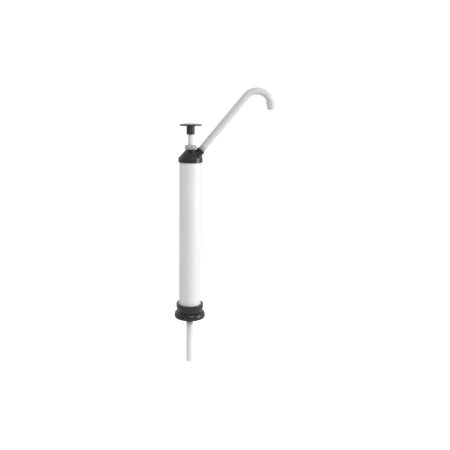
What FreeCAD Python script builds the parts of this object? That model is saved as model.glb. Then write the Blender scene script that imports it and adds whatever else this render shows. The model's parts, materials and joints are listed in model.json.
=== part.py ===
import FreeCAD, Part
import os
import re

import Sketcher

# A hand lift pump that screws on to the neck of a drum. Millimetres, +Z up.
# The origin is the centre of the sealing face that meets the neck's rim.
# The spout points to +X. Every size below is a radius, a length or a height
# above the origin, unless its name says otherwise.
DIMENSIONS = {
    "fit_gap": 0.05,          # running fit, and a snug fit of fixed pieces
    "loose_gap": 0.3,         # room between pieces that move past each other
    # roundings of edges and corners
    "tiny_round": 0.4,
    "small_round": 0.6,
    "soft_round": 1.0,
    "full_round": 2.0,
    # barrel and its seals
    "barrel_radius": 30.15,
    "barrel_bore": 27.15,
    "barrel_foot": 17.0,
    "barrel_top": 432.0,
    "barrel_socket": 30.3,
    # base cup
    "lip_radius": 37.8,
    "lip_top": 30.9,
    "lip_foot": 19.6,
    "lip_round": 1.3,
    "waist_radius": 35.6,
    "waist_foot": 10.3,
    "neck_radius": 25.0,
    "neck_foot": 6.5,
    "neck_bore": 20.15,
    "cup_floor": 15.0,
    # foot valve body with the nipple
    "flange_radius": 33.0,
    "flange_foot": 2.0,
    "flange_top": 5.0,
    "stub_radius": 20.0,
    "stub_top": 13.0,
    "seat_radius": 10.5,
    "seat_top": 14.5,
    "seat_bore": 8.0,
    "nipple_radius": 11.6,
    "nipple_foot": -21.6,
    "spigot_radius": 7.45,
    "spigot_foot": -42.0,
    "spigot_bore": 5.5,
    "funnel_foot": -26.0,
    "funnel_top": -20.0,
    # foot valve poppet and cage
    "poppet_radius": 12.0,
    "poppet_thick": 2.5,
    "poppet_knob": 3.0,
    "poppet_top": 19.2,
    "fin_radius": 7.6,
    "fin_foot": 1.0,
    "fin_near": -0.9,
    "fin_far": 0.9,
    "cage_radius": 16.0,
    "cage_bore": 14.0,
    "cage_foot_radius": 19.5,
    "cage_foot_thick": 2.5,
    "cage_ceiling": 24.6,
    "cage_top": 27.0,
    "cage_hole": 2.6,
    "cage_hole_ring": 8.5,
    "window_near": -6.5,
    "window_far": 6.5,
    "window_foot": 17.0,
    "window_top": 23.0,
    # screw collar and gasket
    "collar_radius": 42.75,
    "collar_top": 10.0,
    "collar_foot": -8.3,
    "collar_hole": 25.5,
    "collar_thread": 34.0,
    "collar_ceiling": 5.3,
    "collar_dome": 12.0,
    "collar_edge": 1.4,
    "flute_radius": 2.6,
    "flute_ring": 44.15,
    "flute_count": 12,
    "gasket_bore": 22.0,
    # dip tube
    "tube_radius": 9.5,
    "tube_bore": 7.5,
    "tube_foot": -142.0,
    # top cap
    "cap_foot": 424.1,
    "cap_radius": 32.8,
    "cap_rim_top": 437.4,
    "cap_rim_round": 2.0,
    "cap_edge": 0.8,
    "cone_foot_radius": 32.3,
    "cone_top_radius": 12.7,
    "cone_top": 458.3,
    "cap_ledge": 434.0,
    "cap_throat": 27.4,
    "cap_throat_top": 439.4,
    "cap_ceiling": 450.0,
    "cap_ceiling_radius": 16.8,
    "stud_radius": 11.5,
    "stud_top": 467.0,
    "chamber_radius": 9.25,
    "chamber_foot": 456.0,
    "cap_rod_hole": 7.0,
    # gland
    "gland_nut_corner": 16.7,
    "gland_nut_foot": 458.6,
    "gland_nut_foot_radius": 12.9,
    "gland_nut_wide_foot": 463.6,
    "gland_nut_wide_top": 467.0,
    "gland_nut_top": 471.1,
    "gland_nut_top_radius": 11.6,
    "gland_thread": 11.6,
    "gland_hole": 6.9,
    "packing_top": 464.0,
    "washer_top": 467.3,
    "washer_bore": 6.85,
    "gland_web_foot": 467.5,
    # outlet, along its own axis from the mouth
    "outlet_x": 29.0,
    "outlet_z": 458.0,
    "outlet_tilt": 39.5,      # degrees from the vertical towards +X
    "boss_radius": 10.2,
    "boss_root_radius": 12.0,
    "boss_foot": -20.0,
    "boss_step": -8.9,
    "boss_top": -4.3,
    "boss_bore": 6.5,
    "boss_bore_foot": -17.0,
    "ring_pocket": 8.2,
    "ring_pocket_foot": -6.3,
    "ring_nut_radius": 11.8,
    "ring_nut_foot": -7.6,
    "ring_nut_top": -0.8,
    "ring_nut_web": -2.4,
    "ring_nut_thread": 10.3,
    "ring_nut_hole": 7.75,
    "ring_nut_notch": 1.1,
    # swivel spigot that carries the spout in the outlet
    "pilot_radius": 6.4,
    "pilot_bore": 5.0,
    "pilot_foot": -13.8,
    "swivel_flange": 9.6,
    "swivel_flange_foot": -4.0,
    "swivel_flange_top": -2.7,
    "swivel_waist": 7.4,
    "swivel_plug_top": 13.0,
    # spout, along the same axis
    "spout_radius": 9.5,
    "spout_bore": 7.3,
    "spout_foot": -0.4,
    "spout_run": 182.1,
    "spout_bend": 37.0,
    "spout_turn": 130.5,      # degrees from the straight run to the nozzle
    "spout_end": 10.0,
    "spout_step": 0.6,
    "spout_step_radius": 8.6,
    "nozzle_collar": 12.2,
    "nozzle_collar_foot": -3.6,
    "nozzle_collar_bore": 9.95,
    "nozzle_band": 10.8,
    "nozzle_band_end": 8.5,
    "nozzle_radius": 9.9,
    "nozzle_socket": 10.1,
    "nozzle_length": 17.0,
    "nozzle_edge": 0.6,
    # plunger rod and knob
    "rod_radius": 6.5,
    "rod_shoulder": 87.5,
    "rod_stud": 5.0,
    "rod_foot": 58.0,
    "rod_top": 518.0,
    "knob_foot": 498.1,
    "hub_radius": 11.0,
    "hub_round": 2.0,
    "hub_neck": 519.4,
    "disc_foot": 520.9,
    "disc_foot_radius": 13.5,
    "disc_radius": 29.8,
    "disc_rim": 525.2,
    "disc_round": 1.6,
    "crown_radius": 20.0,
    "crown_shoulder": 526.9,
    "crown_top": 527.5,
    "hub_flute": 1.4,
    "hub_flute_ring": 11.7,
    "hub_flute_top": 517.0,
    "hub_flute_count": 12,
    "knob_recess": 8.6,
    "knob_recess_foot": 520.5,
    "screw_hole": 2.7,
    "screw_radius": 2.45,
    "screw_foot": 503.0,
    "screw_head": 4.6,
    "screw_head_top": 523.3,
    "screw_socket": 2.3,
    "screw_socket_foot": 521.6,
    "insert_radius": 4.0,
    "insert_foot": 500.0,
    "plug_foot": 523.5,
    # piston
    "piston_nut_foot": 60.0,
    "piston_nut_corner": 9.8,
    "follower_foot": 66.0,
    "follower_radius": 24.5,
    "piston_foot": 69.0,
    "piston_hub": 17.7,
    "piston_plate_foot": 72.0,
    "piston_plate": 24.6,
    "piston_plate_top": 80.0,
    "piston_boss": 9.0,
    "piston_boss_top": 86.0,
    "port_radius": 3.2,
    "port_ring": 13.3,
    "port_count": 6,
    "cup_lip": 24.9,
    "valve_bore": 9.35,
    "valve_radius": 19.0,
    "valve_thick": 2.0,
    "stop_radius": 14.0,
    "bumper_foot": 90.0,
    "bumper_top": 106.0,
    "bumper_radius": 12.0,
    "bumper_round": 1.5,
}

doc = FreeCAD.newDocument("hand_pump")
sheet = doc.addObject("Spreadsheet::Sheet", "dims")
for row, (alias, size) in enumerate(DIMENSIONS.items(), start=1):
    sheet.set(f"A{row}", alias)
    sheet.set(f"B{row}", str(size))
    sheet.setAlias(f"B{row}", alias)
doc.recompute()

TERM = re.compile(r"([+-]?)\s*([a-z_]+|[\d.]+)")


def amount(text):
    """The value of a sum of sheet aliases and numbers, such as 'rod_top - 4'."""
    total = 0.0
    for sign, term in TERM.findall(text):
        size = DIMENSIONS[term] if term in DIMENSIONS else float(term)
        total += -size if sign == "-" else size
    return total


def bound(text):
    """The same sum as an expression that reads the sheet."""
    return re.sub(r"[a-z_]+", lambda name: f"dims.{name.group()}", text)


def new_body(name):
    body = doc.addObject("PartDesign::Body", name)
    body.Label = name
    return body


def origin_part(body, role):
    return next(f for f in body.Origin.OriginFeatures if f.Role == role)


def new_sketch(body, name, plane, offset=None):
    """A sketch on one of the body's origin planes, lifted or turned by offset."""
    sketch = body.newObject("Sketcher::SketchObject", name)
    sketch.AttachmentSupport = (origin_part(body, plane), "")
    sketch.MapMode = "FlatFace"
    if offset:
        sketch.AttachmentOffset = offset
    return sketch


def lifted(body, name, height):
    """A sketch on the XY plane whose height follows the sheet."""
    place = FreeCAD.Placement(FreeCAD.Vector(0, 0, amount(height)), FreeCAD.Rotation())
    sketch = new_sketch(body, name, "XY_Plane", place)
    sketch.setExpression("AttachmentOffset.Base.z", bound(height))
    return sketch


def pin_down(sketch, geometry, end, kind, text):
    """Ties one coordinate of a sketch point to the sheet."""
    if text == "0":
        axis = -2 if kind == "DistanceX" else -1
        sketch.addConstraint(Sketcher.Constraint("PointOnObject", geometry, end, axis))
        return
    rule = Sketcher.Constraint(kind, -1, 1, geometry, end, amount(text))
    number = sketch.addConstraint(rule)
    sketch.setExpression(f"Constraints[{number}]", bound(text))


def outline(sketch, corners):
    """A closed run of straight lines through corners given as pairs of sums."""
    first = sketch.GeometryCount
    spots = [FreeCAD.Vector(amount(x), amount(y), 0) for x, y in corners]
    count = len(spots)
    for k in range(count):
        sketch.addGeometry(Part.LineSegment(spots[k], spots[(k + 1) % count]), False)
    for k in range(count):
        after = first + (k + 1) % count
        sketch.addConstraint(Sketcher.Constraint("Coincident", first + k, 2, after, 1))
    for k, (x, y) in enumerate(corners):
        pin_down(sketch, first + k, 1, "DistanceX", x)
        pin_down(sketch, first + k, 1, "DistanceY", y)


def circle(sketch, radius, x="0", y="0"):
    """A circle whose radius and centre follow the sheet."""
    centre = FreeCAD.Vector(amount(x), amount(y), 0)
    up = FreeCAD.Vector(0, 0, 1)
    ring = sketch.addGeometry(Part.Circle(centre, up, amount(radius)), False)
    number = sketch.addConstraint(Sketcher.Constraint("Radius", ring, amount(radius)))
    sketch.setExpression(f"Constraints[{number}]", bound(radius))
    pin_down(sketch, ring, 3, "DistanceX", x)
    pin_down(sketch, ring, 3, "DistanceY", y)


def hexagon(sketch, corner):
    """A regular hexagon about the origin with one corner on +X."""
    reach = amount(corner)
    start = FreeCAD.Vector(reach, 0, 0)
    turn = FreeCAD.Rotation(FreeCAD.Vector(0, 0, 1), 60)
    spots = [start]
    for _ in range(5):
        spots.append(turn.multVec(spots[-1]))
    up = FreeCAD.Vector(0, 0, 1)
    guide = sketch.addGeometry(Part.Circle(FreeCAD.Vector(), up, reach), True)
    number = sketch.addConstraint(Sketcher.Constraint("Radius", guide, reach))
    sketch.setExpression(f"Constraints[{number}]", bound(corner))
    sketch.addConstraint(Sketcher.Constraint("Coincident", guide, 3, -1, 1))
    first = guide + 1
    for k in range(6):
        sketch.addGeometry(Part.LineSegment(spots[k], spots[(k + 1) % 6]), False)
    for k in range(6):
        after = first + (k + 1) % 6
        sketch.addConstraint(Sketcher.Constraint("Coincident", first + k, 2, after, 1))
        sketch.addConstraint(Sketcher.Constraint("PointOnObject", first + k, 1, guide))
    for k in range(1, 6):
        sketch.addConstraint(Sketcher.Constraint("Equal", first, first + k))
    sketch.addConstraint(Sketcher.Constraint("PointOnObject", first, 1, -1))


def outlet_frame():
    """Where the outlet's axis lies in the XZ plane, for a sketch on that plane."""
    turn = FreeCAD.Rotation(FreeCAD.Vector(0, 0, 1), -DIMENSIONS["outlet_tilt"])
    mouth = FreeCAD.Vector(DIMENSIONS["outlet_x"], DIMENSIONS["outlet_z"], 0)
    return FreeCAD.Placement(mouth, turn)


def on_outlet(sketch):
    """Binds a sketch that outlet_frame placed to the sheet."""
    sketch.setExpression("AttachmentOffset.Base.x", "dims.outlet_x")
    sketch.setExpression("AttachmentOffset.Base.y", "dims.outlet_z")
    sketch.setExpression("AttachmentOffset.Rotation.Angle", "-1 * dims.outlet_tilt")


def turned(body, name, corners, kind="Revolution", on_axis_of_outlet=False):
    """Turns an outline of (radius, height) corners about Z, or about the outlet."""
    place = outlet_frame() if on_axis_of_outlet else None
    sketch = new_sketch(body, name + "_outline", "XZ_Plane", place)
    if on_axis_of_outlet:
        on_outlet(sketch)
    outline(sketch, corners)
    before = body.Shape.Volume if kind == "Groove" else 0.0
    feature = body.newObject(f"PartDesign::{kind}", name)
    feature.Profile = sketch
    feature.ReferenceAxis = (sketch, ["V_Axis"])
    feature.Angle = 360
    doc.recompute()
    if kind == "Groove" and feature.Shape.Volume > before - 1:
        raise ValueError(f"{name} cuts nothing")
    return feature


def ring(name, bore, radius, foot, top):
    """A plain ring, such as a washer, a seal or a tube."""
    body = new_body(name)
    corners = [(bore, foot), (radius, foot), (radius, top), (bore, top)]
    turned(body, name + "_ring", corners)
    return body


def padded(body, name, sketch, length):
    feature = body.newObject("PartDesign::Pad", name)
    feature.Profile = sketch
    feature.Length = amount(length)
    feature.setExpression("Length", bound(length))
    doc.recompute()
    return feature


def cut_up(body, name, sketch, length):
    """A pocket that goes up from its sketch."""
    before = body.Shape.Volume
    feature = body.newObject("PartDesign::Pocket", name)
    feature.Profile = sketch
    feature.Reversed = True
    feature.Length = amount(length)
    feature.setExpression("Length", bound(length))
    doc.recompute()
    if feature.Shape.Volume > before - 1:
        raise ValueError(f"{name} cuts nothing")
    return feature


def around(body, name, feature, count):
    """Repeats a feature in a full circle about Z."""
    pattern = body.newObject("PartDesign::PolarPattern", name)
    pattern.Originals = [feature]
    pattern.Axis = (origin_part(body, "Z_Axis"), [""])
    pattern.Angle = 360
    if isinstance(count, str):
        pattern.Occurrences = DIMENSIONS[count]
        pattern.setExpression("Occurrences", bound(count))
    else:
        pattern.Occurrences = count
    body.Tip = pattern
    doc.recompute()
    return pattern


def circles_at(feature, radius, height):
    """Names of the feature's circular edges of this radius at this height."""
    found = []
    for number, edge in enumerate(feature.Shape.Edges, start=1):
        curve = edge.Curve
        if not isinstance(curve, Part.Circle):
            continue
        same_size = abs(curve.Radius - amount(radius)) < 1e-3
        if same_size and abs(curve.Center.z - amount(height)) < 1e-3:
            found.append(f"Edge{number}")
    if not found:
        raise ValueError(f"no edge of {radius} at {height}")
    return found


def softened(body, name, radius, *edges, kind="Fillet"):
    """Rounds or chamfers the body's circular edges given as (radius, height)."""
    base = body.Tip
    names = [found for at in edges for found in circles_at(base, *at)]
    feature = body.newObject(f"PartDesign::{kind}", name)
    feature.Base = (base, names)
    size = "Radius" if kind == "Fillet" else "Size"
    setattr(feature, size, amount(radius))
    feature.setExpression(size, bound(radius))
    doc.recompute()
    return feature


def barrel_and_seals():
    ring("barrel", "barrel_bore", "barrel_radius", "barrel_foot", "barrel_top")
    ring("barrel_seal", "barrel_bore - 1", "barrel_radius", "cup_floor", "barrel_foot")
    ring("cap_seal", "cap_throat + 0.2", "barrel_radius", "barrel_top", "cap_ledge")


def base_cup():
    """The black cup glued on the barrel's foot; the collar turns on its neck."""
    body = new_body("base_cup")
    turned(body, "cup_wall", [
        ("neck_bore", "neck_foot"),
        ("neck_radius", "neck_foot"),
        ("neck_radius", "waist_foot"),
        ("waist_radius", "waist_foot"),
        ("waist_radius", "lip_foot - 0.9"),
        ("lip_radius", "lip_foot"),
        ("lip_radius", "lip_top"),
        ("barrel_socket", "lip_top"),
        ("barrel_socket", "cup_floor"),
        ("neck_bore", "cup_floor"),
    ])
    softened(body, "lip_rounding", "lip_round", ("lip_radius", "lip_top"))
    softened(body, "waist_rounding", "small_round", ("waist_radius", "waist_foot"))


def foot_valve_body():
    """Valve seat, flange that keeps the collar on, and nipple for the dip tube."""
    body = new_body("foot_valve_body")
    turned(body, "valve_housing", [
        ("spigot_bore", "spigot_foot"),
        ("spigot_radius - 0.5", "spigot_foot"),
        ("spigot_radius", "spigot_foot + 2"),
        ("spigot_radius", "nipple_foot"),
        ("nipple_radius", "nipple_foot"),
        ("nipple_radius", "flange_foot"),
        ("flange_radius", "flange_foot"),
        ("flange_radius", "flange_top"),
        ("stub_radius", "flange_top"),
        ("stub_radius", "stub_top"),
        ("seat_radius", "stub_top"),
        ("seat_radius", "seat_top"),
        ("seat_bore", "seat_top"),
        ("seat_bore", "funnel_top"),
        ("spigot_bore", "funnel_foot"),
    ])
    softened(body, "nipple_root", "full_round", ("nipple_radius", "flange_foot"))
    softened(body, "nipple_edge", "soft_round", ("nipple_radius", "nipple_foot"))
    ring("valve_body_seal", "neck_bore", "neck_radius", "flange_top", "neck_foot")


def foot_valve_poppet():
    """Disc that lifts off the seat, guided by a cross of fins in its bore."""
    body = new_body("foot_valve_poppet")
    turned(body, "poppet_disc", [
        ("0", "seat_top + fit_gap"),
        ("poppet_radius", "seat_top + fit_gap"),
        ("poppet_radius", "seat_top + fit_gap + poppet_thick"),
        ("poppet_knob", "seat_top + fit_gap + poppet_thick"),
        ("poppet_knob", "poppet_top"),
        ("0", "poppet_top"),
    ])
    softened(body, "knob_rounding", "soft_round", ("poppet_knob", "poppet_top"))
    sketch = lifted(body, "fin_outline", "fin_foot")
    outline(sketch, [
        ("0", "fin_near"),
        ("fin_radius", "fin_near"),
        ("fin_radius", "fin_far"),
        ("0", "fin_far"),
    ])
    fin = padded(body, "fin", sketch, "seat_top + fit_gap + 0.5 - fin_foot")
    around(body, "fins", fin, 4)


def foot_valve_cage():
    """Guard over the poppet that stops its lift."""
    body = new_body("foot_valve_cage")
    turned(body, "cage_wall", [
        ("cage_bore", "stub_top"),
        ("cage_foot_radius", "stub_top"),
        ("cage_foot_radius", "stub_top + cage_foot_thick"),
        ("cage_radius", "stub_top + cage_foot_thick"),
        ("cage_radius", "cage_top"),
        ("0", "cage_top"),
        ("0", "cage_ceiling"),
        ("cage_bore", "cage_ceiling"),
    ])
    softened(body, "cage_rounding", "soft_round", ("cage_radius", "cage_top"))
    sketch = lifted(body, "window_outline", "window_foot")
    outline(sketch, [
        ("cage_bore - 4", "window_near"),
        ("cage_radius + 2", "window_near"),
        ("cage_radius + 2", "window_far"),
        ("cage_bore - 4", "window_far"),
    ])
    window = cut_up(body, "window", sketch, "window_top - window_foot")
    around(body, "windows", window, 4)
    sketch = lifted(body, "hole_outline", "cage_ceiling - 1")
    circle(sketch, "cage_hole", "cage_hole_ring", "0")
    hole = cut_up(body, "hole", sketch, "cage_top - cage_ceiling + 2")
    around(body, "holes", hole, 6)


def screw_collar():
    """Domed grip ring with the neck's internal thread, free to turn on the cup."""
    body = new_body("screw_collar")
    turned(body, "collar_wall", [
        ("collar_hole", "collar_ceiling"),
        ("collar_hole", "collar_top"),
        ("collar_radius", "collar_top"),
        ("collar_radius", "collar_foot"),
        ("collar_thread", "collar_foot"),
        ("collar_thread", "collar_ceiling"),
    ])
    softened(body, "collar_shoulder", "collar_dome", ("collar_radius", "collar_top"))
    softened(body, "collar_rounding", "collar_edge", ("collar_radius", "collar_foot"))
    sketch = lifted(body, "flute_outline", "collar_foot - 1")
    turn = FreeCAD.Rotation(FreeCAD.Vector(0, 0, 1), 15)
    place = FreeCAD.Placement(sketch.AttachmentOffset.Base, turn)
    sketch.AttachmentOffset = place
    circle(sketch, "flute_radius", "flute_ring", "0")
    flute = cut_up(body, "flute", sketch, "collar_top - collar_foot + 2")
    around(body, "flutes", flute, "flute_count")
    ring("collar_gasket", "gasket_bore", "flange_radius", "0", "flange_foot")


def dip_tube():
    body = ring("dip_tube", "tube_bore", "tube_radius", "tube_foot", "nipple_foot")
    softened(body, "tube_edge", "tiny_round", ("tube_radius", "tube_foot"))


def top_cap():
    """Cone with a skirt over the barrel, a gland stud and a slanting outlet."""
    body = new_body("top_cap")
    turned(body, "cap_cone", [
        ("0", "cap_foot"),
        ("cap_radius", "cap_foot"),
        ("cap_radius", "cap_rim_top - 1"),
        ("cone_foot_radius", "cap_rim_top"),
        ("cone_top_radius", "cone_top"),
        ("stud_radius", "cone_top"),
        ("stud_radius", "stud_top"),
        ("0", "stud_top"),
    ])
    softened(body, "rim_rounding", "cap_rim_round", ("cone_foot_radius", "cap_rim_top"))
    softened(body, "skirt_rounding", "cap_edge", ("cap_radius", "cap_foot"))
    turned(body, "outlet_boss", [
        ("0", "boss_foot"),
        ("boss_root_radius", "boss_foot"),
        ("boss_root_radius", "boss_step"),
        ("boss_radius", "boss_step + 0.8"),
        ("boss_radius", "boss_top"),
        ("0", "boss_top"),
    ], on_axis_of_outlet=True)
    turned(body, "cap_hollow", [
        ("0", "cap_foot - 1"),
        ("barrel_socket", "cap_foot - 1"),
        ("barrel_socket", "cap_ledge"),
        ("cap_throat", "cap_ledge"),
        ("cap_throat", "cap_throat_top"),
        ("cap_ceiling_radius", "cap_ceiling"),
        ("cap_rod_hole", "cap_ceiling"),
        ("cap_rod_hole", "chamber_foot"),
        ("chamber_radius", "chamber_foot"),
        ("chamber_radius", "stud_top + 1"),
        ("0", "stud_top + 1"),
    ], kind="Groove")
    turned(body, "outlet_bore", [
        ("0", "boss_bore_foot"),
        ("boss_bore", "boss_bore_foot"),
        ("boss_bore", "ring_pocket_foot"),
        ("ring_pocket", "ring_pocket_foot"),
        ("ring_pocket", "boss_top + 1"),
        ("0", "boss_top + 1"),
    ], kind="Groove", on_axis_of_outlet=True)


def gland():
    """Packing and its washer in the cap's stud, pressed by a hexagon nut."""
    ring("gland_packing", "rod_radius + fit_gap", "chamber_radius - fit_gap",
         "chamber_foot", "packing_top")
    ring("gland_washer", "washer_bore", "chamber_radius - 0.1", "packing_top",
         "washer_top")
    body = new_body("gland_nut")
    sketch = lifted(body, "nut_hexagon", "gland_nut_foot")
    hexagon(sketch, "gland_nut_corner")
    padded(body, "nut_block", sketch, "gland_nut_top - gland_nut_foot")
    turned(body, "nut_foot_taper", [
        ("gland_nut_foot_radius", "gland_nut_foot - 1"),
        ("gland_nut_corner + 1", "gland_nut_foot - 1"),
        ("gland_nut_corner + 1", "gland_nut_wide_foot"),
        ("gland_nut_corner", "gland_nut_wide_foot"),
        ("gland_nut_foot_radius", "gland_nut_foot"),
    ], kind="Groove")
    turned(body, "nut_top_taper", [
        ("gland_nut_corner", "gland_nut_wide_top"),
        ("gland_nut_corner + 1", "gland_nut_wide_top"),
        ("gland_nut_corner + 1", "gland_nut_top + 1"),
        ("gland_nut_top_radius", "gland_nut_top + 1"),
        ("gland_nut_top_radius", "gland_nut_top"),
    ], kind="Groove")
    turned(body, "nut_bore", [
        ("0", "gland_nut_foot - 1"),
        ("gland_thread", "gland_nut_foot - 1"),
        ("gland_thread", "gland_web_foot"),
        ("gland_hole", "gland_web_foot"),
        ("gland_hole", "gland_nut_top + 1"),
        ("0", "gland_nut_top + 1"),
    ], kind="Groove")


def outlet_place():
    """Placement of the pieces modelled upright and stood on the outlet's mouth."""
    turn = FreeCAD.Rotation(FreeCAD.Vector(0, 1, 0), DIMENSIONS["outlet_tilt"])
    mouth = FreeCAD.Vector(DIMENSIONS["outlet_x"], 0, DIMENSIONS["outlet_z"])
    return FreeCAD.Placement(mouth, turn)


def stand_on_outlet(body):
    body.Placement = outlet_place()
    body.setExpression("Placement.Base.x", "dims.outlet_x")
    body.setExpression("Placement.Base.z", "dims.outlet_z")
    body.setExpression("Placement.Rotation.Angle", "dims.outlet_tilt")


def outlet_fittings():
    """Seal, ring nut and the swivel spigot that they keep in the outlet."""
    body = ring("spout_seal", "pilot_radius + fit_gap", "ring_pocket - fit_gap",
                "ring_pocket_foot", "boss_top")
    stand_on_outlet(body)
    body = new_body("spout_nut")
    turned(body, "ring_nut", [
        ("ring_nut_thread", "ring_nut_foot"),
        ("ring_nut_radius", "ring_nut_foot"),
        ("ring_nut_radius", "ring_nut_top"),
        ("ring_nut_hole", "ring_nut_top"),
        ("ring_nut_hole", "ring_nut_web"),
        ("ring_nut_thread", "ring_nut_web"),
    ])
    softened(body, "nut_rounding", "small_round", ("ring_nut_radius", "ring_nut_top"))
    sketch = lifted(body, "notch_outline", "ring_nut_foot - 1")
    circle(sketch, "ring_nut_notch", "ring_nut_radius + 0.5", "0")
    notch = cut_up(body, "notch", sketch, "ring_nut_top - ring_nut_foot + 2")
    around(body, "notches", notch, 16)
    stand_on_outlet(body)
    body = new_body("spout_spigot")
    turned(body, "spigot", [
        ("pilot_bore", "pilot_foot"),
        ("pilot_radius", "pilot_foot"),
        ("pilot_radius", "swivel_flange_foot"),
        ("swivel_flange", "swivel_flange_foot"),
        ("swivel_flange", "swivel_flange_top"),
        ("swivel_waist", "swivel_flange_top"),
        ("swivel_waist", "spout_foot"),
        ("spout_bore - fit_gap", "spout_foot"),
        ("spout_bore - fit_gap", "swivel_plug_top - 2"),
        ("pilot_bore + 1", "swivel_plug_top"),
        ("pilot_bore", "swivel_plug_top"),
    ])
    stand_on_outlet(body)


def bend_path(body, name):
    """The spout's line: up the straight run, round the bend and down its end."""
    sketch = new_sketch(body, name, "XZ_Plane")
    foot = FreeCAD.Vector(0, amount("spout_foot"), 0)
    knee = FreeCAD.Vector(0, amount("spout_run"), 0)
    bend = amount("spout_bend")
    centre = knee + FreeCAD.Vector(bend, 0, 0)
    turn = FreeCAD.Rotation(FreeCAD.Vector(0, 0, 1), -amount("spout_turn"))
    end = centre + turn.multVec(FreeCAD.Vector(-bend, 0, 0))
    tail = end + turn.multVec(FreeCAD.Vector(0, amount("spout_end"), 0))
    halfway = FreeCAD.Rotation(FreeCAD.Vector(0, 0, 1), -amount("spout_turn") / 2)
    top = centre + halfway.multVec(FreeCAD.Vector(-bend, 0, 0))
    sketch.addGeometry(Part.LineSegment(foot, knee), False)
    sketch.addGeometry(Part.Arc(knee, top, end), False)
    sketch.addGeometry(Part.LineSegment(end, tail), False)
    for kind, first, last in (("Tangent", (0, 2), (1, 2)), ("Tangent", (1, 1), (2, 1))):
        sketch.addConstraint(Sketcher.Constraint(kind, *first, *last))
    for kind, text in (("DistanceX", "0"), ("DistanceY", "spout_foot")):
        pin_down(sketch, 0, 1, kind, text)
    for kind, text in (("DistanceX", "0"), ("DistanceY", "spout_run")):
        pin_down(sketch, 0, 2, kind, text)
    sizes = (
        Sketcher.Constraint("Radius", 1, bend),
        Sketcher.Constraint("Distance", 2, amount("spout_end")),
    )
    for rule, alias in zip(sizes, ("spout_bend", "spout_end")):
        number = sketch.addConstraint(rule)
        sketch.setExpression(f"Constraints[{number}]", bound(alias))
    return sketch


def end_place():
    """Placement of the spout's end in the spout's own frame, +Z out of it."""
    turn = FreeCAD.Rotation(FreeCAD.Vector(0, 1, 0), DIMENSIONS["spout_turn"])
    bend = DIMENSIONS["spout_bend"]
    centre = FreeCAD.Vector(bend, 0, DIMENSIONS["spout_run"])
    return FreeCAD.Placement(centre + turn.multVec(FreeCAD.Vector(-bend, 0, 0)), turn)


def swept(body, name, radius, path, kind):
    """A round bar, or a round bore, along the spout's path."""
    sketch = lifted(body, name + "_circle", "spout_foot")
    circle(sketch, radius)
    feature = body.newObject(f"PartDesign::{kind}", name)
    feature.Profile = sketch
    feature.Spine = (path, ["Edge1", "Edge2", "Edge3"])
    doc.recompute()
    return feature


def spout():
    """The hook-shaped tube, stepped at its end for the nozzle."""
    body = new_body("spout")
    path = bend_path(body, "spout_path")
    swept(body, "spout_bar", "spout_radius", path, "AdditivePipe")
    swept(body, "spout_hollow", "spout_bore", path, "SubtractivePipe")
    end = end_place()
    angle = FreeCAD.Rotation(FreeCAD.Vector(0, 0, 1), -DIMENSIONS["spout_turn"])
    place = FreeCAD.Placement(FreeCAD.Vector(end.Base.x, end.Base.z, 0), angle)
    sketch = new_sketch(body, "step_outline", "XZ_Plane", place)
    outline(sketch, [
        ("spout_step_radius", "spout_step"),
        ("spout_radius + 1", "spout_step"),
        ("spout_radius + 1", "spout_end + 1"),
        ("spout_step_radius", "spout_end + 1"),
    ])
    step = body.newObject("PartDesign::Groove", "end_step")
    step.Profile = sketch
    step.ReferenceAxis = (sketch, ["V_Axis"])
    step.Angle = 360
    doc.recompute()
    stand_on_outlet(body)


def spout_nozzle():
    """Sleeve pushed over the spout's stepped end."""
    body = new_body("spout_nozzle")
    turned(body, "nozzle_sleeve", [
        ("nozzle_collar_bore", "spout_step"),
        ("nozzle_collar_bore", "nozzle_collar_foot"),
        ("nozzle_collar", "nozzle_collar_foot"),
        ("nozzle_collar", "spout_step"),
        ("nozzle_band", "spout_step"),
        ("nozzle_band", "nozzle_band_end"),
        ("nozzle_radius", "nozzle_band_end + 1"),
        ("nozzle_radius", "nozzle_length"),
        ("spout_bore", "nozzle_length"),
        ("spout_bore", "nozzle_socket"),
        ("spout_step_radius + fit_gap", "nozzle_socket"),
        ("spout_step_radius + fit_gap", "spout_step"),
    ])
    softened(body, "nozzle_lip", "nozzle_edge", ("nozzle_radius", "nozzle_length"),
             ("nozzle_collar", "nozzle_collar_foot"), ("nozzle_collar", "spout_step"))
    body.Placement = outlet_place().multiply(end_place())


def piston_rod():
    body = new_body("piston_rod")
    turned(body, "rod_bar", [
        ("0", "rod_foot"),
        ("rod_stud", "rod_foot"),
        ("rod_stud", "rod_shoulder"),
        ("rod_radius", "rod_shoulder"),
        ("rod_radius", "rod_top"),
        ("insert_radius + fit_gap", "rod_top"),
        ("insert_radius + fit_gap", "insert_foot - 0.5"),
        ("0", "insert_foot - 0.5"),
    ])
    softened(body, "stud_chamfer", "soft_round", ("rod_stud", "rod_foot"),
             kind="Chamfer")
    body = ring("rod_bumper", "rod_radius + fit_gap", "bumper_radius", "bumper_foot",
                "bumper_top")
    softened(body, "bumper_rounding", "bumper_round", ("bumper_radius", "bumper_top"),
             ("bumper_radius", "bumper_foot"))


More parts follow.
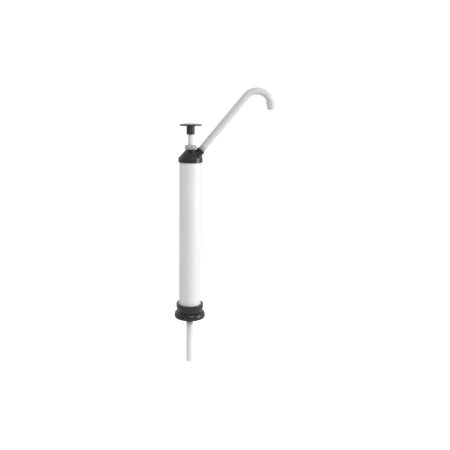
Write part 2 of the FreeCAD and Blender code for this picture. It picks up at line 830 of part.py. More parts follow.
def handle_knob():
    """Palm disc and fluted hub in one moulding, with a recess for its screw."""
    body = new_body("handle_knob")
    turned(body, "knob_block", [
        ("rod_radius + fit_gap", "knob_foot"),
        ("hub_radius", "knob_foot"),
        ("hub_radius", "hub_neck"),
        ("disc_foot_radius", "disc_foot"),
        ("disc_radius", "disc_foot"),
        ("disc_radius", "disc_rim"),
        ("crown_radius", "crown_shoulder"),
        ("knob_recess", "crown_top"),
        ("knob_recess", "knob_recess_foot"),
        ("screw_hole", "knob_recess_foot"),
        ("screw_hole", "rod_top"),
        ("rod_radius + fit_gap", "rod_top"),
    ])
    softened(body, "disc_rounding", "disc_round", ("disc_radius", "disc_rim"),
             ("disc_radius", "disc_foot"))
    softened(body, "hub_rounding", "hub_round", ("hub_radius", "knob_foot"))
    sketch = lifted(body, "hub_flute_outline", "knob_foot - 1")
    circle(sketch, "hub_flute", "hub_flute_ring", "0")
    flute = cut_up(body, "hub_flute_cut", sketch, "hub_flute_top - knob_foot + 1")
    around(body, "hub_flutes", flute, "hub_flute_count")


def handle_fastening():
    """Screw through the knob into the rod's insert, and the plug that hides it."""
    body = new_body("handle_screw")
    turned(body, "screw_blank", [
        ("0", "screw_foot"),
        ("screw_radius", "screw_foot"),
        ("screw_radius", "knob_recess_foot"),
        ("screw_head", "knob_recess_foot"),
        ("screw_head", "screw_head_top"),
        ("0", "screw_head_top"),
    ])
    softened(body, "screw_rounding", "soft_round", ("screw_head", "screw_head_top"))
    sketch = lifted(body, "socket_hexagon", "screw_socket_foot")
    hexagon(sketch, "screw_socket")
    cut_up(body, "socket", sketch, "screw_head_top - screw_socket_foot + 1")
    ring("rod_insert", "screw_radius + fit_gap", "insert_radius", "insert_foot",
         "rod_top")
    body = new_body("handle_plug")
    turned(body, "plug_disc", [
        ("0", "plug_foot"),
        ("knob_recess - 0.1", "plug_foot"),
        ("knob_recess - 0.1", "crown_top"),
        ("0", "crown_top"),
    ])
    softened(body, "plug_rounding", "tiny_round", ("knob_recess - 0.1", "crown_top"))


def ported(body, foot, height):
    """Drills the ring of water ports up through a plate of the piston."""
    sketch = lifted(body, body.Name + "_port_outline", foot)
    circle(sketch, "port_radius", "port_ring", "0")
    port = cut_up(body, body.Name + "_port", sketch, height)
    around(body, body.Name + "_ports", port, "port_count")


def piston():
    """Body, cup seal, follower, lock nut and the valve over the ports."""
    body = new_body("piston_body")
    turned(body, "piston_block", [
        ("rod_stud + fit_gap", "piston_foot"),
        ("piston_hub", "piston_foot"),
        ("piston_hub", "piston_plate_foot"),
        ("piston_plate", "piston_plate_foot"),
        ("piston_plate", "piston_plate_top"),
        ("piston_boss", "piston_plate_top"),
        ("piston_boss", "piston_boss_top"),
        ("rod_stud + fit_gap", "piston_boss_top"),
    ])
    ported(body, "piston_foot - 1", "piston_plate_top - piston_foot + 2")
    body = ring("piston_follower", "rod_stud + fit_gap", "follower_radius",
                "follower_foot", "piston_foot")
    ported(body, "follower_foot - 1", "piston_foot - follower_foot + 2")
    body = new_body("piston_cup")
    turned(body, "cup_leather", [
        ("piston_hub + loose_gap", "piston_foot + loose_gap"),
        ("barrel_bore - 1.2", "piston_foot + loose_gap"),
        ("barrel_bore - fit_gap", "piston_foot + loose_gap + 1.2"),
        ("barrel_bore - fit_gap", "piston_plate_top"),
        ("cup_lip", "piston_plate_top"),
        ("cup_lip", "piston_plate_foot - loose_gap"),
        ("piston_hub + loose_gap", "piston_plate_foot - loose_gap"),
    ])
    ring("piston_valve_disc", "valve_bore", "valve_radius",
         "piston_plate_top + fit_gap", "piston_plate_top + fit_gap + valve_thick")
    ring("valve_stop_washer", "rod_stud + fit_gap", "stop_radius", "piston_boss_top",
         "rod_shoulder")
    body = new_body("piston_nut")
    sketch = lifted(body, "lock_nut_hexagon", "piston_nut_foot")
    hexagon(sketch, "piston_nut_corner")
    circle(sketch, "rod_stud + fit_gap")
    padded(body, "lock_nut", sketch, "follower_foot - piston_nut_foot")


def check_and_export():
    """Stops on any failed object, then writes one STEP file for each piece."""
    doc.recompute()
    for thing in doc.Objects:
        if {"Invalid", "Error"} & set(thing.State):
            raise ValueError(f"{thing.Label} failed: {thing.State}")
    os.makedirs("parts", exist_ok=True)
    bodies = [o for o in doc.Objects if o.TypeId == "PartDesign::Body"]
    for body in bodies:
        if body.Shape.isNull() or not body.Shape.isValid():
            raise ValueError(f"{body.Label} has no valid shape")
        if len(body.Shape.Solids) != 1:
            raise ValueError(f"{body.Label} has {len(body.Shape.Solids)} solids")
    for body in bodies:
        body.Shape.exportStep(f"parts/{body.Label}.step")
    print(f"{len(bodies)} pieces written")


barrel_and_seals()
base_cup()
foot_valve_body()
foot_valve_poppet()
foot_valve_cage()
screw_collar()
dip_tube()
top_cap()
gland()
outlet_fittings()
spout()
spout_nozzle()
piston_rod()
handle_knob()
handle_fastening()
piston()
check_and_export()
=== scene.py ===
import json
import math

import bmesh
import bpy
from mathutils import Euler, Matrix, Vector

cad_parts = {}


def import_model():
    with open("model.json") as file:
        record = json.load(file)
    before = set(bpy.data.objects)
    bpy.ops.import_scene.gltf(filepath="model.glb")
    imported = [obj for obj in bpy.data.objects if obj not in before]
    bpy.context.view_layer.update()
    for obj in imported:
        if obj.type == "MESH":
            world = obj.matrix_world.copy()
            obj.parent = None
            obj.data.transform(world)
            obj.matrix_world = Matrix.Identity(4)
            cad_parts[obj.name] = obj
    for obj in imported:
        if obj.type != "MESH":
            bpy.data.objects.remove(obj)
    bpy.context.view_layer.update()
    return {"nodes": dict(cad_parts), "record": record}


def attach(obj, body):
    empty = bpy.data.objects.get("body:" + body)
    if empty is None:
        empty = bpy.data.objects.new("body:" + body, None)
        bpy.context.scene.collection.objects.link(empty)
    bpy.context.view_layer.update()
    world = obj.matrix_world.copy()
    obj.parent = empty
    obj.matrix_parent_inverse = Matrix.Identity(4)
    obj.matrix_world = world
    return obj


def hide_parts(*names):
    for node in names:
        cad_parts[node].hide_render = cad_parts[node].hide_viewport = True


MM = 0.001
UP = Vector((0, 0, 1))
UPRIGHT = Matrix.Identity(4)

# The outlet's own frame: its place beside the cap's cone in mm, and its lean towards +X.
OUTLET_PLACE = (29.0, 0, 458.0)
OUTLET_LEAN = math.radians(39.5)
OUTLET = Matrix.Translation(OUTLET_PLACE) @ Matrix.Rotation(OUTLET_LEAN, 4, "Y")

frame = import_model()

# ---------------------------------------------------------------- materials
# Places in metres, where a material changes along the pump: a painted highlight round the disc's
# upper edge, the polished palm, and painted shade below the collar.

DISC_RIM_HIGHLIGHT = Vector((0, 0, 0.5248))
PALM_CROWN = Vector((0, 0, 0.528))
NIPPLE_SHADE_CENTRE = Vector((0, 0, -0.02))


class Paint:
    """A node material built a step at a time around one Principled shader."""

    def __init__(self, name, **sockets):
        self.material = bpy.data.materials.new(name)
        self.material.use_nodes = True
        self.tree = self.material.node_tree
        self.shader = self.tree.nodes["Principled BSDF"]
        for socket, value in sockets.items():
            self.shader.inputs[socket.replace("_", " ")].default_value = value

    def node(self, kind, **inputs):
        made = self.tree.nodes.new(f"ShaderNode{kind}")
        for socket, value in inputs.items():
            made.inputs[socket.replace("_", " ")].default_value = value
        return made

    def link(self, source, target):
        self.tree.links.new(source, target)

    def place(self, stretch=(1, 1, 1)):
        """Object coordinates in metres, stretched along the axes."""
        coords = self.node("TexCoord")
        mapping = self.node("Mapping", Scale=stretch)
        self.link(coords.outputs["Object"], mapping.inputs["Vector"])
        return mapping.outputs["Vector"]

    def noise(self, scale, detail=4.0, roughness=0.55, stretch=(1, 1, 1)):
        made = self.node("TexNoise", Scale=scale, Detail=detail, Roughness=roughness)
        self.link(self.place(stretch), made.inputs["Vector"])
        return made.outputs["Fac"]

    def ramp(self, source, low, high, start=0.35, end=0.65):
        """Colour from low to high as source goes from start to end."""
        made = self.node("ValToRGB")
        for stop, at, colour in zip(made.color_ramp.elements, (start, end), (low, high)):
            stop.position = at
            stop.color = (*colour, 1)
        self.link(source, made.inputs["Fac"])
        return made.outputs["Color"]

    def spread(self, source, low, high, start=0.3, end=0.7):
        """A number from low to high as source goes from start to end, held beyond them."""
        made = self.node("MapRange")
        for number, value in enumerate((start, end, low, high), start=1):
            made.inputs[number].default_value = value
        self.link(source, made.inputs[0])
        return made.outputs["Result"]

    def blend(self, share, first, second):
        """Colour from first to second by share; either may be a plain colour."""
        made = self.node("Mix")
        made.data_type = "RGBA"
        self.link(share, made.inputs[0])
        for source, number in ((first, 6), (second, 7)):
            if isinstance(source, tuple):
                made.inputs[number].default_value = (*source, 1)
            else:
                self.link(source, made.inputs[number])
        return made.outputs[2]

    def near(self, centre, axis, full, none):
        """1 within full metres of centre along an axis, falling to 0 at none metres."""
        coords = self.node("TexCoord")
        along = self.node("VectorMath")
        along.operation = "DOT_PRODUCT"
        along.inputs[1].default_value = axis
        self.link(coords.outputs["Object"], along.inputs[0])
        apart = self.node("Math")
        apart.operation = "SUBTRACT"
        apart.inputs[1].default_value = centre.dot(axis)
        self.link(along.outputs["Value"], apart.inputs[0])
        size = self.node("Math")
        size.operation = "ABSOLUTE"
        self.link(apart.outputs["Value"], size.inputs[0])
        return self.spread(size.outputs["Value"], 1.0, 0.0, full, none)

    def colour(self, source):
        self.link(source, self.shader.inputs["Base Color"])

    def roughness(self, source):
        self.link(source, self.shader.inputs["Roughness"])

    def bump(self, *layers):
        """Stacked bumps, each a (height source, depth in metres) pair."""
        normal = None
        for height, depth in layers:
            made = self.node("Bump", Strength=1.0, Distance=depth)
            self.link(height, made.inputs["Height"])
            if normal:
                self.link(normal, made.inputs["Normal"])
            normal = made.outputs["Normal"]
        self.link(normal, self.shader.inputs["Normal"])


def black_plastic():
    """Satin moulded polypropylene: spark grain, scuffs, the palm disc polished, with a painted
    highlight round the disc's upper edge.
    """
    paint = Paint("black_polypropylene", IOR=1.49, Specular_IOR_Level=0.65)
    grain = paint.noise(1500, 2, 0.6)
    flow = paint.noise(60, 5, 0.6, (1, 1, 2.5))
    scuff = paint.noise(240, 8, 0.72, (1, 1, 0.35))
    tone = paint.ramp(flow, (0.008, 0.008, 0.009), (0.012, 0.012, 0.0135))
    worn = paint.spread(scuff, 0.0, 0.5, 0.62, 0.8)
    scuffed = paint.blend(worn, tone, (0.06, 0.06, 0.064))
    # Painted highlight: a lighter band round the disc's upper edge, standing in for the bright
    # backdrop reflected there.
    rim_highlight = paint.near(DISC_RIM_HIGHLIGHT, UP, 0.0008, 0.0016)
    paint.colour(paint.blend(rim_highlight, scuffed, (0.17, 0.17, 0.172)))
    palm = paint.near(PALM_CROWN, UP, 0.0032, 0.0044)
    satin = paint.spread(flow, 0.17, 0.25)
    paint.roughness(paint.blend(palm, satin, (0.09, 0.09, 0.09)))
    smooth = paint.blend(palm, grain, (0.5, 0.5, 0.5))
    paint.bump((smooth, 0.00003), (flow, 0.00004))
    return paint.material


def white_pipe():
    """Extruded PVC: glossy, with faint draw lines along the pipe."""
    paint = Paint("white_pipe", IOR=1.53, Coat_Weight=0.25, Coat_Roughness=0.12)
    lines = paint.noise(420, 3, 0.5, (1, 1, 0.012))
    cloud = paint.noise(26, 4, 0.5, (1, 1, 0.4))
    speck = paint.noise(900, 2, 0.5)
    tone = paint.ramp(cloud, (0.86, 0.872, 0.838), (0.90, 0.91, 0.88))
    dust = paint.spread(speck, 0.0, 0.35, 0.72, 0.8)
    paint.colour(paint.blend(dust, tone, (0.6, 0.6, 0.56)))
    paint.roughness(paint.spread(cloud, 0.26, 0.36))
    paint.bump((lines, 0.00002), (cloud, 0.00015))
    return paint.material


def rod_plastic():
    """The plunger's rod: smooth white bar with fine scratches along its stroke."""
    paint = Paint("rod_plastic", IOR=1.5)
    scratch = paint.noise(1400, 3, 0.6, (1, 1, 0.02))
    cloud = paint.noise(40, 3, 0.5)
    tone = paint.ramp(cloud, (0.77, 0.775, 0.76), (0.81, 0.815, 0.80))
    line = paint.spread(scratch, 0.0, 0.3, 0.6, 0.8)
    paint.colour(paint.blend(line, tone, (0.55, 0.55, 0.53)))
    paint.roughness(paint.spread(scratch, 0.24, 0.42))
    paint.bump((scratch, 0.00003))
    return paint.material


def clear_tube(name, dark, light):
    """Natural polyethylene: milky and waxy, with painted shade near the cap's outlet and below the
    collar, where black parts sit inside the tube.
    """
    paint = Paint(name, IOR=1.5, Subsurface_Weight=0.15,
                  Subsurface_Radius=(0.003, 0.003, 0.0028), Subsurface_Scale=0.5)
    cloud = paint.noise(55, 4, 0.55)
    lines = paint.noise(600, 3, 0.5, (1, 1, 0.1))
    milk = paint.ramp(cloud, dark, light)
    # Painted shade: the tube is painted darker near the cap's outlet, for the black part inside seen
    # through the milky wall.
    plug_shade = paint.near(OUTLET.translation * MM, OUTLET.col[2].to_3d(), 0.001, 0.016)
    upper = paint.blend(plug_shade, milk, (0.34, 0.34, 0.345))
    # Painted shade: the tube is painted darker just below the collar, for the black part inside seen
    # through the milky wall.
    nipple_shade = paint.near(NIPPLE_SHADE_CENTRE, UP, 0.001, 0.015)
    paint.colour(paint.blend(nipple_shade, upper, (0.2, 0.2, 0.205)))
    paint.roughness(paint.spread(cloud, 0.28, 0.38))
    paint.bump((lines, 0.00001), (cloud, 0.00005))
    return paint.material


def gland_plastic():
    """Grey nylon, slightly see-through at its thin edges."""
    paint = Paint("grey_nylon", IOR=1.5, Subsurface_Weight=0.3,
                  Subsurface_Radius=(0.003, 0.003, 0.003), Subsurface_Scale=0.5)
    cloud = paint.noise(110, 4, 0.55)
    grain = paint.noise(1600, 2, 0.5)
    paint.colour(paint.ramp(cloud, (0.45, 0.445, 0.475), (0.52, 0.515, 0.545)))
    paint.roughness(paint.spread(cloud, 0.34, 0.5))
    paint.bump((grain, 0.00003), (cloud, 0.0001))
    return paint.material


def seal_rubber():
    """Matte nitrile rubber with a faint dusty bloom."""
    paint = Paint("nitrile_rubber", Specular_IOR_Level=0.35)
    bloom = paint.noise(180, 6, 0.65)
    grain = paint.noise(1900, 2, 0.6)
    paint.colour(paint.ramp(bloom, (0.012, 0.012, 0.012), (0.035, 0.034, 0.033)))
    paint.roughness(paint.spread(bloom, 0.6, 0.85))
    paint.bump((grain, 0.00008))
    return paint.material


def valve_plastic():
    """Natural acetal: off-white and a little waxy."""
    paint = Paint("natural_acetal", IOR=1.48, Subsurface_Weight=0.2,
                  Subsurface_Radius=(0.002, 0.002, 0.002), Subsurface_Scale=0.5)
    cloud = paint.noise(90, 4, 0.5)
    grain = paint.noise(1500, 2, 0.5)
    paint.colour(paint.ramp(cloud, (0.68, 0.665, 0.60), (0.76, 0.745, 0.69)))
    paint.roughness(paint.spread(cloud, 0.35, 0.5))
    paint.bump((grain, 0.00004))
    return paint.material


def metal(name, dark, light, low, high):
    """Turned metal: fine rings from the tool, smudges in the gloss."""
    paint = Paint(name, Metallic=1.0)
    turned = paint.noise(2600, 2, 0.5, (0.05, 0.05, 1))
    smudge = paint.noise(150, 5, 0.6)
    paint.colour(paint.ramp(smudge, dark, light))
    paint.roughness(paint.spread(smudge, low, high))
    paint.bump((turned, 0.00002))
    return paint.material


# One material for each of the record's slots.
MATERIALS = {
    "black_plastic": black_plastic(),
    "white_pvc": white_pipe(),
    "rod_plastic": rod_plastic(),
    "clear_tube": clear_tube("milky_polyethylene", (0.69, 0.695, 0.69), (0.73, 0.735, 0.725)),
    "gland_plastic": gland_plastic(),
    "seal_rubber": seal_rubber(),
    "valve_plastic": valve_plastic(),
    "stainless": metal("satin_stainless", (0.42, 0.42, 0.43), (0.6, 0.6, 0.6), 0.22, 0.4),
    "brass": metal("turned_brass", (0.55, 0.4, 0.15), (0.72, 0.55, 0.24), 0.25, 0.42),
}

# Pieces that look different from the rest of their slot: the dip tube's copy of the polyethylene is
# painted paler than the spout's, standing in for the brighter light that falls on it lower down.
OWN_MATERIALS = {
    "suction_tube": clear_tube("polyethylene_painted_lighter", (0.89, 0.895, 0.89), (0.93, 0.935, 0.925)),
}


def dress_nodes():
    """Gives every CAD node its slot's material."""
    for part in frame["record"]["subparts"]:
        piece = frame["nodes"][part["node"]]
        piece.data.materials.clear()
        piece.data.materials.append(MATERIALS[part["material_slot"]])


# ---------------------------------------------------------------- shapes
# Sizes are in millimetres, as in the CAD model. Pieces on the outlet are drawn in its own frame.


SHARP_EDGE = math.radians(32)


def ease(value, low, high):
    """0 below low, 1 above high, with a smooth run between."""
    share = min(max((value - low) / (high - low), 0.0), 1.0)
    return share * share * (3 - 2 * share)


def off_centre(angle, count, first=0.0):
    """Degrees from the nearest of count evenly spaced marks round a circle."""
    pitch = 360 / count
    return (math.degrees(angle) - first + pitch / 2) % pitch - pitch / 2


def rounded(corners, steps=5):
    """Closed outline through (radius, height) corners, with an arc where a third number rounds it."""
    outline = []
    for k, (radius, height, *bend) in enumerate(corners):
        here = Vector((radius, height))
        if not bend:
            outline.append(here)
            continue
        back = (Vector(corners[k - 1][:2]) - here).normalized()
        ahead = (Vector(corners[(k + 1) % len(corners)][:2]) - here).normalized()
        half = back.angle(ahead) / 2
        centre = here + (back + ahead).normalized() * (bend[0] / math.sin(half))
        start = here + back * (bend[0] / math.tan(half)) - centre
        end = here + ahead * (bend[0] / math.tan(half)) - centre
        for step in range(steps + 1):
            spoke = start.lerp(end, step / steps).normalized()
            outline.append(centre + spoke * bend[0])
    return outline


def climb(radius, low, high, step):
    """Corners straight up or down a wall, close enough together to carry a pattern."""
    count = max(1, round(abs(high - low) / step))
    return [(radius, low + (high - low) * k / count) for k in range(count + 1)]


def finish_mesh(name, spots, faces, slot, body, *nodes, place=UPRIGHT):
    """Makes the piece with its place built into its mesh, and hides the CAD nodes it stands for."""
    mesh = bpy.data.meshes.new(name)
    mesh.from_pydata([place @ Vector(spot) * MM for spot in spots], [], faces)
    work = bmesh.new()
    work.from_mesh(mesh)
    bmesh.ops.recalc_face_normals(work, faces=work.faces)
    work.to_mesh(mesh)
    work.free()
    mesh.shade_smooth()
    mesh.set_sharp_from_angle(angle=SHARP_EDGE)
    mesh.materials.append(OWN_MATERIALS.get(name, MATERIALS[slot]))
    piece = bpy.data.objects.new(name, mesh)
    bpy.context.scene.collection.objects.link(piece)
    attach(piece, body)
    if nodes:
        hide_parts(*nodes)
    return piece


def loop_faces(loops, rows, closed):
    """Quads between neighbouring loops of rows points each."""
    faces = []
    for k in range(loops if closed else loops - 1):
        here, there = k * rows, (k + 1) % loops * rows
        for i in range(rows):
            j = (i + 1) % rows
            faces.append((here + i, here + j, there + j, there + i))
    return faces


def lathe(name, outline, sides, slot, body, *nodes, shape=None, place=UPRIGHT):
    """A closed outline turned about Z; shape(radius, height, angle) may vary the radius."""
    spots = []
    for k in range(sides):
        angle = math.tau * k / sides
        for radius, height in outline:
            reach = shape(radius, height, angle) if shape else radius
            spots.append((reach * math.cos(angle), reach * math.sin(angle), height))
    faces = loop_faces(sides, len(outline), True)
    return finish_mesh(name, spots, faces, slot, body, *nodes, place=place)


def tube(name, stations, sides, slot, body, *nodes, place=UPRIGHT):
    """A hollow tube in the XZ plane through (point, heading, outer, bore, squeeze) stations."""
    widening = 0.6
    outside = [(point, heading, outer, squeeze) for point, heading, outer, _, squeeze in stations]
    inside = [(point, heading, bore, squeeze) for point, heading, _, bore, squeeze in stations]
    rings = outside + inside[::-1]
    spots = []
    for point, heading, reach, squeeze in rings:
        across = Vector((heading.z, 0, -heading.x))
        for k in range(sides):
            angle = math.tau * k / sides
            inward = across * (math.cos(angle) * reach * (1 - squeeze))
            sideways = Vector((0, math.sin(angle) * reach * (1 + squeeze * widening), 0))
            spots.append(point + inward + sideways)
    faces = loop_faces(len(rings), sides, True)
    return finish_mesh(name, spots, faces, slot, body, *nodes, place=place)


# ---------------------------------------------------------------- pieces


def screw_collar():
    """Domed grip ring: soft flutes outside, the neck's thread cut inside."""
    wall, hole, top, foot = 42.75, 25.5, 10.0, -8.3
    pitch, crest, depth = 4.0, 34.0, 1.5
    flutes, flute_depth = 12, 1.3
    outline = rounded([
        (hole, top, 0.5), (wall, top, 12.0), (wall, foot, 1.4), (35.6, foot, 0.3),
        *climb(crest, -7.2, 4.9, 0.4),
        (crest, 5.3), (hole, 5.3, 0.3),
    ], steps=9)

    def shape(radius, height, angle):
        if radius > 38:
            side = abs(off_centre(angle, flutes, 15))
            return min(radius, wall - flute_depth * (1 - ease(side, 1.0, 4.6)))
        if abs(radius - crest) < 1e-4 and height < 5:
            turn = (height / pitch - angle / math.tau) % 1
            ridge = 1 - ease(abs(turn - 0.5) * 2, 0.3, 0.8)
            start = ease(height, -7.0, -5.0) * (1 - ease(height, 4.0, 4.8))
            return crest + depth * (1 - ridge * start)
        return radius

    lathe("grip_collar", outline, 360, "black_plastic", "collar", "screw_collar", shape=shape)


def base_cup():
    """Cup on the barrel's foot, with the two faint seams of its mould."""
    bore, neck, skirt, lip, socket = 20.15, 25.0, 35.6, 37.8, 30.3
    seam_height = 0.16
    outline = rounded([
        (bore, 6.5), (neck, 6.5, 0.4), (neck, 10.3, 0.3), (31.0, 10.3, 4.0), (skirt, 9.35, 0.3),
        (skirt, 18.9, 0.6), (lip, 19.7, 0.5), (lip, 30.9, 1.5), (socket, 30.9, 0.5),
        (socket, 15.0), (bore, 15.0),
    ])

    def shape(radius, height, angle):
        seam = 1 - ease(abs(off_centre(angle, 2, 90)), 0.2, 0.9)
        return radius + (seam_height * seam if radius > 34 else 0)

    lathe("cup_with_lip", outline, 360, "black_plastic", "housing", "base_cup", shape=shape)


def cement_bead():
    """Thin uneven bead of solvent cement where the barrel enters the cup."""
    pipe, unevenness = 30.05, 0.07
    outline = rounded([(pipe, 30.2), (30.7, 30.2, 0.2), (30.9, 30.9, 0.3), (pipe, 31.6, 0.2)])

    def shape(radius, height, angle):
        wave = math.sin(5 * angle + 0.6) + 0.6 * math.sin(13 * angle) + 0.4 * math.sin(29 * angle)
        return radius + (unevenness * wave if radius > 30.4 else 0)

    lathe("cement_bead", outline, 180, "white_pvc", "housing", shape=shape)


def cone_height(radius, angle):
    """Height along the outlet's axis where a cylinder about it meets the cap's cone."""
    wide, wide_height = 32.3, 437.4
    narrow, narrow_height = 12.7, 458.3
    low, high = -24.0, -4.0
    for _ in range(24):
        middle = (low + high) / 2
        spot = OUTLET @ Vector((radius * math.cos(angle), radius * math.sin(angle), middle))
        wall = wide - (spot.z - wide_height) * (wide - narrow) / (narrow_height - wide_height)
        if math.hypot(spot.x, spot.y) > wall:
            high = middle
        else:
            low = middle
    return middle


def top_cap():
    """Cone with its skirt and gland stud, and the outlet's root blended into it."""
    skirt_radius, socket, throat, stud = 32.8, 30.3, 27.4, 11.5
    packing, rod_hole, seam_height = 9.25, 7.0, 0.14
    outline = rounded([
        (socket, 424.1, 0.4), (skirt_radius, 424.1, 0.9), (skirt_radius, 436.9, 2.6),
        (12.9, 458.3, 0.5), (stud, 458.3, 0.3), (stud, 467.0, 0.4), (packing, 467.0, 0.3),
        (packing, 456.0), (rod_hole, 456.0), (rod_hole, 450.0, 0.4), (16.8, 450.0, 1.0),
        (throat, 439.4, 0.6), (throat, 434.0), (socket, 434.0),
    ], steps=7)

    def skirt(radius, height, angle):
        seam = 1 - ease(abs(off_centre(angle, 2, 90)), 0.2, 0.8)
        return radius + (seam_height * seam if height > 424.5 and radius > 28 else 0)

    lathe("cap_shell", outline, 360, "black_plastic", "housing", "top_cap", shape=skirt)

    foot, flare, root, boss, pocket, bore = -17.0, 1.6, 12.0, 10.2, 8.2, 6.5
    outline = rounded([
        *climb(root, foot, -9.4, 0.25), (root, -8.9, 0.3), (boss, -8.1, 0.2), (boss, -4.3, 0.3),
        (pocket, -4.3), (pocket, -6.3), (bore, -6.3), (bore, foot),
    ])

    def blend(radius, height, angle):
        if radius < 11.9:
            return radius
        gap = height - cone_height(root, angle)
        share = min(max(1 - gap / flare, 0.0), 1.0)
        return radius + flare * share * share

    lathe("outlet_root", outline, 96, "black_plastic", "housing", shape=blend, place=OUTLET)


def gland_nut():
    """Hexagon gland nut with tapered ends and worn-round corners."""
    across_corners, thread, rod_hole, wear = 16.7, 11.6, 6.9, 0.35
    flat = across_corners * math.cos(math.radians(30))
    outline = rounded([
        (thread, 458.6), (12.9, 458.6, 0.3), *climb(across_corners, 463.6, 467.0, 0.5),
        (11.8, 471.1, 0.5), (rod_hole, 471.1, 0.4), (rod_hole, 467.5), (thread, 467.5),
    ])

    def shape(radius, height, angle):
        if radius < 12.5:
            return radius
        side = math.radians(off_centre(angle, 6, 30))
        corner = ease(abs(math.degrees(side)), 24, 30)
        return min(radius, flat / math.cos(side) - wear * corner)

    lathe("gland_hexagon", outline, 180, "gland_plastic", "housing", "gland_nut", shape=shape)


def outlet_ring():
    """Ring nut with finger ribs that holds the spout's swivel."""
    wall, thread, hole, notches, notch_depth = 11.8, 10.3, 7.75, 16, 0.65
    outline = rounded([
        (thread, -7.6, 0.2), (wall, -7.6, 0.4), (wall, -0.8, 0.8), (hole, -0.8, 0.3),
        (hole, -2.4), (thread, -2.4),
    ])

    def shape(radius, height, angle):
        side = abs(off_centre(angle, notches))
        return min(radius, wall - notch_depth * (1 - ease(side, 2.0, 7.5)))

    lathe("outlet_ring", outline, 192, "black_plastic", "housing", "spout_nut",
          shape=shape, place=OUTLET)


def spout_path(foot, run, bend, turn, tail, step):
    """Points and headings up the run, round the bend and down the tail."""
    pieces = 18
    line = []
    for k in range(pieces + 1):
        line.append((Vector((0, 0, foot + (run - foot) * k / pieces)), UP))
    count = round(turn / step)
    for k in range(1, count + 1):
        angle = math.radians(turn * k / count)
        heading = Vector((math.sin(angle), 0, math.cos(angle)))
        spoke = Vector((-math.cos(angle), 0, math.sin(angle)))
        line.append((Vector((bend, 0, run)) + spoke * bend, heading))
    end, heading = line[-1]
    line.extend((end + heading * reach, heading) for reach in tail)
    return line


def spout():
    """Milky hook-shaped tube, a little flattened round its bend, and its end sleeve."""
    reach, bore, run, bend, turn = 9.5, 7.3, 182.1, 37.0, 130.5
    foot, foot_round, sleeved, flattening = -0.4, 0.5, 8.6, 0.025
    line = spout_path(foot, run, bend, turn, (0.55, 0.6, 10.0), 3.0)
    stations = [(Vector((0, 0, foot)), UP, reach - foot_round, bore, 0.0),
                (Vector((0, 0, foot + foot_round)), UP, reach, bore, 0.0)]
    for k, (point, heading) in enumerate(line[1:], start=1):
        leaning = math.degrees(math.acos(max(-1.0, min(1.0, heading.z))))
        squeeze = flattening * ease(leaning, 5, 40) * (1 - ease(leaning, 90, 130))
        outer = reach if k < len(line) - 2 else sleeved
        stations.append((point, heading, outer, bore, squeeze))
    tube("spout_tube", stations, 64, "clear_tube", "spout", "spout", place=OUTLET)

    angle = math.radians(turn)
    end = Vector((bend - bend * math.cos(angle), 0, run + bend * math.sin(angle)))
    place = OUTLET @ Matrix.Translation(end) @ Matrix.Rotation(angle, 4, "Y")
    seat, collar_bore, collar, sleeve, nose = 8.65, 9.95, 12.2, 10.8, 9.9
    outline = rounded([
        (seat, 0.6), (collar_bore, 0.6), (collar_bore, -3.6, 0.3), (collar, -3.6, 0.8),
        (collar, 0.6, 0.8), (sleeve, 0.6, 0.4), (sleeve, 8.5, 0.8), (nose, 9.5, 0.5),
        (nose, 17.0, 0.7), (bore, 17.0, 0.5), (bore, 10.1), (seat, 10.1),
    ])
    lathe("spout_tip", outline, 96, "clear_tube", "spout", "spout_nozzle", place=place)


def dip_tube():
    """Suction tube, its lower end cut square and softened."""
    wall, bore, foot, top, waviness = 9.5, 7.5, -142.0, -21.6, 0.05
    outline = rounded([
        (bore, foot, 0.4), (wall, foot, 0.6), *climb(wall, -136.0, -28.0, 6.0),
        (wall, top, 0.3), (bore, top),
    ])

    def shape(radius, height, angle):
        sway = waviness * math.sin(height / 9.0 + 2 * angle)
        return radius + (sway if -137 < height < -27 else 0)

    lathe("suction_tube", outline, 96, "clear_tube", "housing", "dip_tube", shape=shape)


def palm_knob():
    """Palm disc, slightly crowned, on a fluted hub, one moulding."""
    hub, disc, rod_hole, recess, screw_hole = 11.0, 29.8, 6.55, 8.6, 2.7
    foot, disc_foot, disc_rim, flutes, flute_depth = 498.1, 520.9, 525.2, 12, 0.75
    outline = rounded([
        (rod_hole, foot, 0.3), (hub, foot, 2.0), *climb(hub, 501.0, 518.0, 1.0),
        (hub, disc_foot, 2.4), (20.0, disc_foot), (disc, disc_foot, 1.6), (disc, disc_rim, 1.6),
        (20.0, 526.9, 40.0), (recess, 527.5, 0.3), (recess, 520.5),
        (screw_hole, 520.5), (screw_hole, 518.0), (rod_hole, 518.0),
    ])

    def shape(radius, height, angle):
        if height > 518.5 or radius < 9:
            return radius
        side = abs(off_centre(angle, flutes))
        fade = 1 - ease(height, 515.5, 517.5)
        return min(radius, hub - flute_depth * fade * (1 - ease(side, 2.0, 8.0)))

    lathe("palm_knob", outline, 240, "black_plastic", "plunger", "handle_knob", shape=shape)


# ---------------------------------------------------------------- studio
# Strengths of the white surroundings: what they light the pump with, and what the camera sees.

FRONT_LIGHT = 0.4
BACK_LIGHT = 0.9
FLOOR_LIGHT = 0.3
WHITE_SEEN = 1.05
LAMPS = (
    # name, place, width and height in metres, radiance
    ("key", (2.2, -0.6, 0.6), 1.25, 1.4, 4.3),
    ("front", (0.7, -2.0, 2.4), 1.6, 1.2, 3.8),
)


def camera_or(tree, seen, unseen):
    """A strength that is seen for the camera's own rays and unseen for all light."""
    path = tree.nodes.new("ShaderNodeLightPath")
    pick = tree.nodes.new("ShaderNodeMapRange")
    tree.links.new(path.outputs["Is Camera Ray"], pick.inputs[0])
    pick.inputs[4].default_value = seen
    if isinstance(unseen, float):
        pick.inputs[3].default_value = unseen
    else:
        tree.links.new(unseen, pick.inputs[3])
    return pick.outputs["Result"]


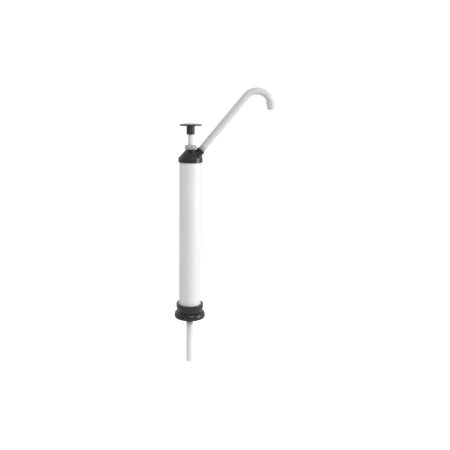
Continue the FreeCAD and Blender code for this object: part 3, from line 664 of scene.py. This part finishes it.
def world():
    """White backdrop behind the pump, dimmer in front, as in a photographer's cove."""
    surroundings = bpy.data.worlds.new("cove")
    surroundings.use_nodes = True
    bpy.context.scene.world = surroundings
    tree = surroundings.node_tree
    light = tree.nodes["Background"]
    light.inputs["Color"].default_value = (1, 1, 1, 1)
    coords = tree.nodes.new("ShaderNodeTexCoord")
    split = tree.nodes.new("ShaderNodeSeparateXYZ")
    tree.links.new(coords.outputs["Generated"], split.inputs[0])
    back = tree.nodes.new("ShaderNodeMapRange")
    front_edge, back_edge = -0.6, 0.9
    for number, value in enumerate((front_edge, back_edge, FRONT_LIGHT, BACK_LIGHT), start=1):
        back.inputs[number].default_value = value
    tree.links.new(split.outputs["Y"], back.inputs[0])
    strength = camera_or(tree, WHITE_SEEN, back.outputs["Result"])
    tree.links.new(strength, light.inputs["Strength"])


def floor():
    """Pale floor, well below the free end of the dip tube."""
    level, width = -0.75, 60
    bpy.ops.mesh.primitive_plane_add(size=width, location=(0, 0, level))
    ground = bpy.context.object
    ground.name = "studio_floor"
    paint = Paint("studio_white", Base_Color=(0.5, 0.5, 0.5, 1), Roughness=0.9,
                  Specular_IOR_Level=0.0, Emission_Color=(1, 1, 1, 1))
    strength = camera_or(paint.tree, WHITE_SEEN, FLOOR_LIGHT)
    paint.link(strength, paint.shader.inputs["Emission Strength"])
    ground.data.materials.append(paint.material)


def lamps():
    """A tall softbox on the right, a broad one high in front."""
    target = Vector((0.03, 0, 0.27))
    for name, spot, wide, tall, radiance in LAMPS:
        lamp = bpy.data.lights.new(name, "AREA")
        lamp.shape = "RECTANGLE"
        lamp.size = wide
        lamp.size_y = tall
        lamp.energy = radiance * math.pi * wide * tall
        holder = bpy.data.objects.new(name, lamp)
        bpy.context.scene.collection.objects.link(holder)
        holder.location = spot
        aim = target - Vector(spot)
        holder.rotation_euler = aim.to_track_quat("-Z", "Y").to_euler()


def camera():
    """The photograph's view: level with the cap, seen along +Y, tilted down a little."""
    lens = bpy.data.cameras.new("camera")
    lens.sensor_width = 36.0
    lens.lens = 41.74
    lens.shift_x = 0.0772
    lens.shift_y = -0.05
    lens.clip_end = 100
    holder = bpy.data.objects.new("camera", lens)
    bpy.context.scene.collection.objects.link(holder)
    tilt = math.radians(90 - 9.5)
    roll = math.radians(0.285)
    holder.location = (0, -1.396, 0.5487)
    turn = Euler((tilt, 0, 0)).to_matrix() @ Euler((0, 0, roll)).to_matrix()
    holder.rotation_euler = turn.to_euler()
    bpy.context.scene.camera = holder


# ---------------------------------------------------------------- scene

bpy.context.scene.view_settings.view_transform = "Standard"
bpy.context.scene.view_settings.look = "None"
dress_nodes()
screw_collar()
base_cup()
cement_bead()
top_cap()
gland_nut()
outlet_ring()
spout()
dip_tube()
palm_knob()
world()
floor()
lamps()
camera()
